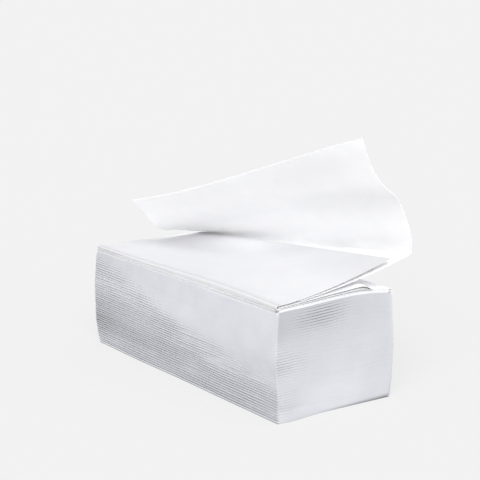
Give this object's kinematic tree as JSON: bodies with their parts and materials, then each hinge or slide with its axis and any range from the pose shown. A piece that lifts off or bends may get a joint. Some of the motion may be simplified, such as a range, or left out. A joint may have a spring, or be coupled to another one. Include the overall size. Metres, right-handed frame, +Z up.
{
  "type": "pack of interfolded paper towels",
  "caption": "Block of white V-fold paper towels, interfolded so each hangs in its neighbours' folds, with the top towel's panel pulled up in a curved sweep.",
  "frame": {"origin": "centre of the stack's underside", "axes": "+X along the folds towards the end where the top towel is pulled up, +Y from the front folds to the back folds, +Z up"},
  "size_m": [0.2434, 0.1198, 0.188],
  "materials": {
    "pressed_paper": "matt, fine layered edges",
    "towel_paper": "matt, softly embossed"
  },
  "bodies": {
    "root": {"pressed_stack": "pressed_paper", "fourth_towel": "towel_paper", "third_towel": "towel_paper", "second_towel": "towel_paper", "raised_towel": "towel_paper"}
  },
  "joints": []
}
